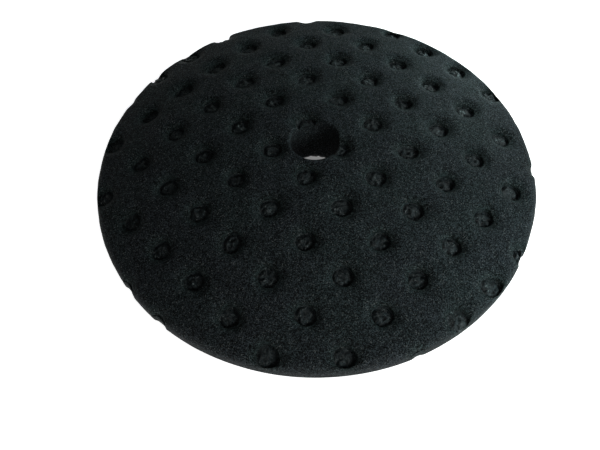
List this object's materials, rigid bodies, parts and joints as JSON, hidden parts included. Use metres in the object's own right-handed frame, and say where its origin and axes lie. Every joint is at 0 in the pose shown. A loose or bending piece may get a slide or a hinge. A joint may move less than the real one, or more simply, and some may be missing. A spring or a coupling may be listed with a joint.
{
  "type": "polishing pad",
  "caption": "Round foam polishing pad with a domed face, a diagonal grid of collapsed pockets, a centre through-hole and a loop-fabric backing.",
  "frame": {"origin": "on the loop fabric's outer face, at the middle of the centre hole", "axes": "+Z out of the domed working face; +X along a row of pockets"},
  "size_m": [0.165, 0.165, 0.0222],
  "materials": {
    "foam": "matte fine-celled polyurethane foam, black",
    "adhesive": "satin hot-melt film, amber",
    "loop_fabric": "brushed nylon loop knit, charcoal"
  },
  "bodies": {
    "root": {"foam_disc": "foam", "adhesive_film": "adhesive", "loop_backing": "loop_fabric"}
  },
  "joints": []
}
